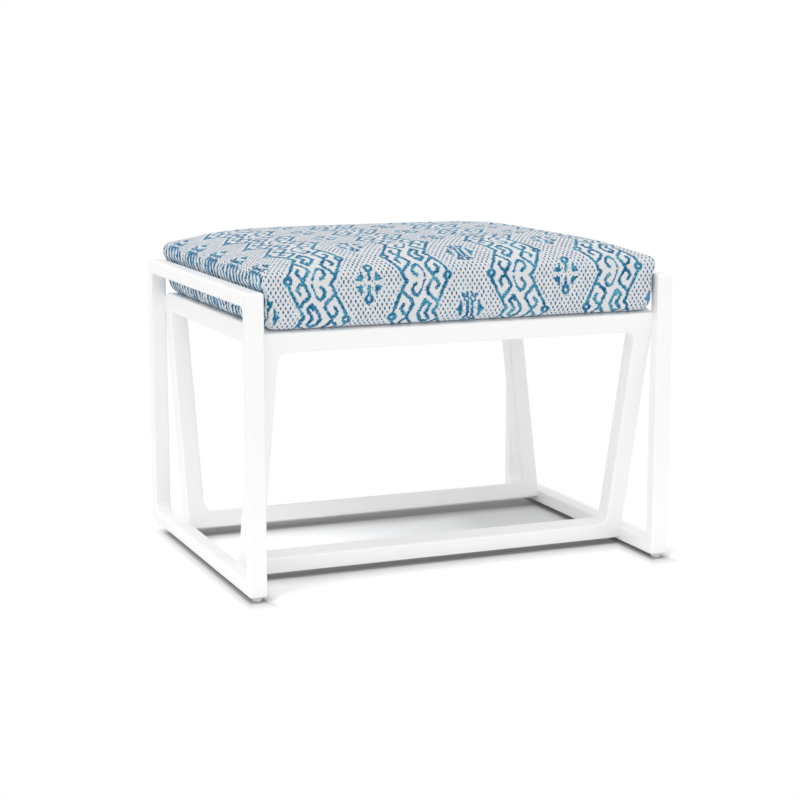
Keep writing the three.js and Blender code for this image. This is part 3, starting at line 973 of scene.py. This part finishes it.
def zip_piece():
    low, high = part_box("cushion_zip")
    middle, size = (low + high) / 2, high - low
    bm = bmesh.new()
    block(bm, (0, middle.y - TAPE_SUNK / 2, middle.z), (size.x, size.y - TAPE_SUNK, size.z))
    bmesh.ops.bevel(bm, geom=list(bm.edges), offset=0.5 * MM, offset_type="OFFSET", segments=2,
                    profile=0.5, affect="EDGES", material=-1)
    for number in range(TOOTH_COUNT):
        x = (number - (TOOTH_COUNT - 1) / 2) * TOOTH_PITCH
        lift = TOOTH_LIFT if number % 2 else -TOOTH_LIFT
        block(bm, (x, high.y - TOOTH_OUT, middle.z + lift), TOOTH_SIZE)
    finished_piece("cushion_zip_closed", bm, tape_finish,
                   body="cushion", replaced=["cushion_zip"])


zip_piece()
print("zip made, teeth:", TOOTH_COUNT)

# %% [markdown]
# ## Floor
# The floor is white paper that fades into the white surround. White tubes over white paper
# throw so much light back that their shadows all but vanish. So shadow is painted on the
# paper itself: darker under the rails, and softly under the right half of the seat.

# %% Where shadow is painted on the paper
# Greys of the painted shadow, from right under a rail out to the open paper
PAINTED_SHADOW_GREYS = [(0.0, grey(0.30)), (0.11, grey(0.40)), (0.18, grey(0.60)), (0.5, grey(0.84)),
               (1.0, grey(0.98))]
# Bands of floor along the rails where shadow is painted: from, to, and how fast they fade before
# and after that
LEFT_RAIL, RIGHT_RAIL = (-0.33, -0.305, 2.2, 3.5), (0.305, 0.33, 2.2, 3.5)
ALONG_SIDE_RAILS = (-0.2575, 0.2575, 1, 4)
FRONT_RAIL, REAR_RAIL, REAR_FADE_TURN = (-0.146, -0.098, 1, 4), (0.143, 0.205), 1.2
ALONG_INNER_RAILS = (-0.305, 0.305, 1, 1)
RAIL_SHADE_REACH = (-0.015, 0.105)
SEAT_SHADE_X, SEAT_SHADE_Y, SEAT_SHADE = (-0.04, 0.17), (-0.12, -0.08), 0.68


def outside(value, low, high, below, above):
    """How far a place is outside a band, with its own scale on either side of the band."""
    return ((low - value) * below).math("MAXIMUM", (value - high) * above)


def painted_shadow_lightness(paper, x, y):
    """Painted shadow: 0 on the floor along a rail, rising to 1 in the open, and lower under the
    right half of the seat.
    """
    side_rails = outside(x, *LEFT_RAIL).math("MINIMUM", outside(x, *RIGHT_RAIL))
    side_rails = side_rails.math("MAXIMUM", outside(y, *ALONG_SIDE_RAILS))
    rear = outside(y, *REAR_RAIL, 1.0 - x * REAR_FADE_TURN, 4)
    inner_rails = outside(y, *FRONT_RAIL).math("MINIMUM", rear)
    inner_rails = inner_rails.math("MAXIMUM", outside(x, *ALONG_INNER_RAILS))
    clear_of_painted_shadow = paper.step(side_rails.math("MINIMUM", inner_rails), *RAIL_SHADE_REACH)
    painted_seat_shadow = paper.step(x, *SEAT_SHADE_X) * paper.step(y, *SEAT_SHADE_Y)
    return clear_of_painted_shadow.math("MINIMUM", 1 - painted_seat_shadow * SEAT_SHADE)


print("shades of the paper:", len(PAINTED_SHADOW_GREYS))

# %% White paper that fades into the surround
FADE_X, FADE_Y = (-0.33, 0.33, 1, 3), (-0.2575, 0.175, 1, 4)
FADE_START, FADE_WIDTH = 0.03, 0.16
FLOOR_HALF = 60


def stage_paper():
    paper = Finish("stage_paper")
    x, y = paper.split(paper.object_place())
    # The paper's colour is a painted shadow, darker under the rails and under the seat
    light = paper.node("ShaderNodeValToRGB", {"stops": PAINTED_SHADOW_GREYS}, [painted_shadow_lightness(paper, x, y)])
    paper.set(Base_Color=light, Roughness=1.0, Specular_IOR_Level=0.0)
    away = outside(x, *FADE_X).math("MAXIMUM", outside(y, *FADE_Y))
    fade = paper.step(away, FADE_START, FADE_START + FADE_WIDTH)
    glow = paper.node("ShaderNodeEmission", {}, {"Color": grey(1.0), "Strength": 1.0})
    body = Signal(paper, paper.surface.outputs[0])
    both = paper.node("ShaderNodeMixShader", {}, [fade, body, glow])
    paper.feed(paper.tree.nodes["Material Output"].inputs["Surface"], both)
    paper.material.cycles.emission_sampling = "NONE"
    return paper.material


def stage_floor():
    bm = bmesh.new()
    bmesh.ops.create_grid(bm, x_segments=1, y_segments=1, size=FLOOR_HALF)
    mesh = bpy.data.meshes.new("stage_floor")
    bm.to_mesh(mesh)
    bm.free()
    mesh.materials.append(stage_paper())
    floor = bpy.data.objects.new("stage_floor", mesh)
    scene.collection.objects.link(floor)
    return floor


floor = stage_floor()
print("floor:", 2 * FLOOR_HALF, "m square")

# %% [markdown]
# ## Light and camera
# The surround lights everything evenly, as a light tent does, so whites stay white. Two
# broad lamps add a little from the front and from above, and a third one lights the floor
# alone, for the soft shadow. The camera repeats the place and the lens worked out from the
# photograph.

# %% Even light from all round
WORLD_LEVEL = 0.90


def studio_world():
    """Pure white where it is seen or mirrored, and a little less as light on the object."""
    world = bpy.data.worlds.new("studio")
    scene.world = world
    world.use_nodes = True
    tree = world.node_tree
    ray = tree.nodes.new("ShaderNodeLightPath")
    seen = ray.outputs["Is Camera Ray"]
    for kind in ("Is Glossy Ray", "Is Transmission Ray"):
        either = tree.nodes.new("ShaderNodeMath")
        either.operation = "MAXIMUM"
        tree.links.new(seen, either.inputs[0])
        tree.links.new(ray.outputs[kind], either.inputs[1])
        seen = either.outputs[0]
    level = tree.nodes.new("ShaderNodeMapRange")
    level.inputs["To Min"].default_value = WORLD_LEVEL
    level.inputs["To Max"].default_value = 1.0
    tree.links.new(seen, level.inputs["Value"])
    tree.links.new(level.outputs[0], tree.nodes["Background"].inputs["Strength"])
    tree.nodes["Background"].inputs["Color"].default_value = grey(1.0)


studio_world()
print("surround:", WORLD_LEVEL)

# %% Two broad lamps, and one that lights the floor alone
def broad_lamp(name, source, level, softness):
    """A lamp at an endless distance, from the direction of source, softness degrees wide."""
    data = bpy.data.lights.new(name, "SUN")
    data.energy = level * math.pi
    data.angle = math.radians(softness)
    lamp = bpy.data.objects.new(name, data)
    lamp.rotation_euler = Vector(source).to_track_quat("Z", "Y").to_euler()
    scene.collection.objects.link(lamp)
    return lamp


broad_lamp("front_lamp", source=(-0.6, -1.0, 0.5), level=0.05, softness=50)
broad_lamp("top_lamp", source=(-0.3, -0.2, 1.0), level=0.20, softness=50)
floor_lamp = broad_lamp("floor_lamp", source=(-1.1, -0.7, 1.1), level=0.42, softness=30)
floor_only = bpy.data.collections.new("floor_only")
floor_only.objects.link(floor)
floor_lamp.light_linking.receiver_collection = floor_only
print("lamps:", len(bpy.data.lights))

# %% Camera
PIXELS, FOCAL_PIXELS = 800, 1892
AZIMUTH, ELEVATION = math.radians(-22.463), math.radians(9.973)
CAMERA_PLACE, SENSOR = (-1.1060, -2.6747, 0.7323), 36
camera_data = bpy.data.cameras.new("photo_camera")
camera_data.sensor_width = SENSOR
camera_data.lens = SENSOR * FOCAL_PIXELS / PIXELS
camera_data.clip_start, camera_data.clip_end = 0.1, 200
camera = bpy.data.objects.new("photo_camera", camera_data)
camera.location = CAMERA_PLACE
camera.rotation_euler = (math.pi / 2 - ELEVATION, 0, AZIMUTH)
scene.collection.objects.link(camera)
scene.camera = camera
scene.view_settings.view_transform = "Standard"
print("lens", round(camera_data.lens, 2), "mm")
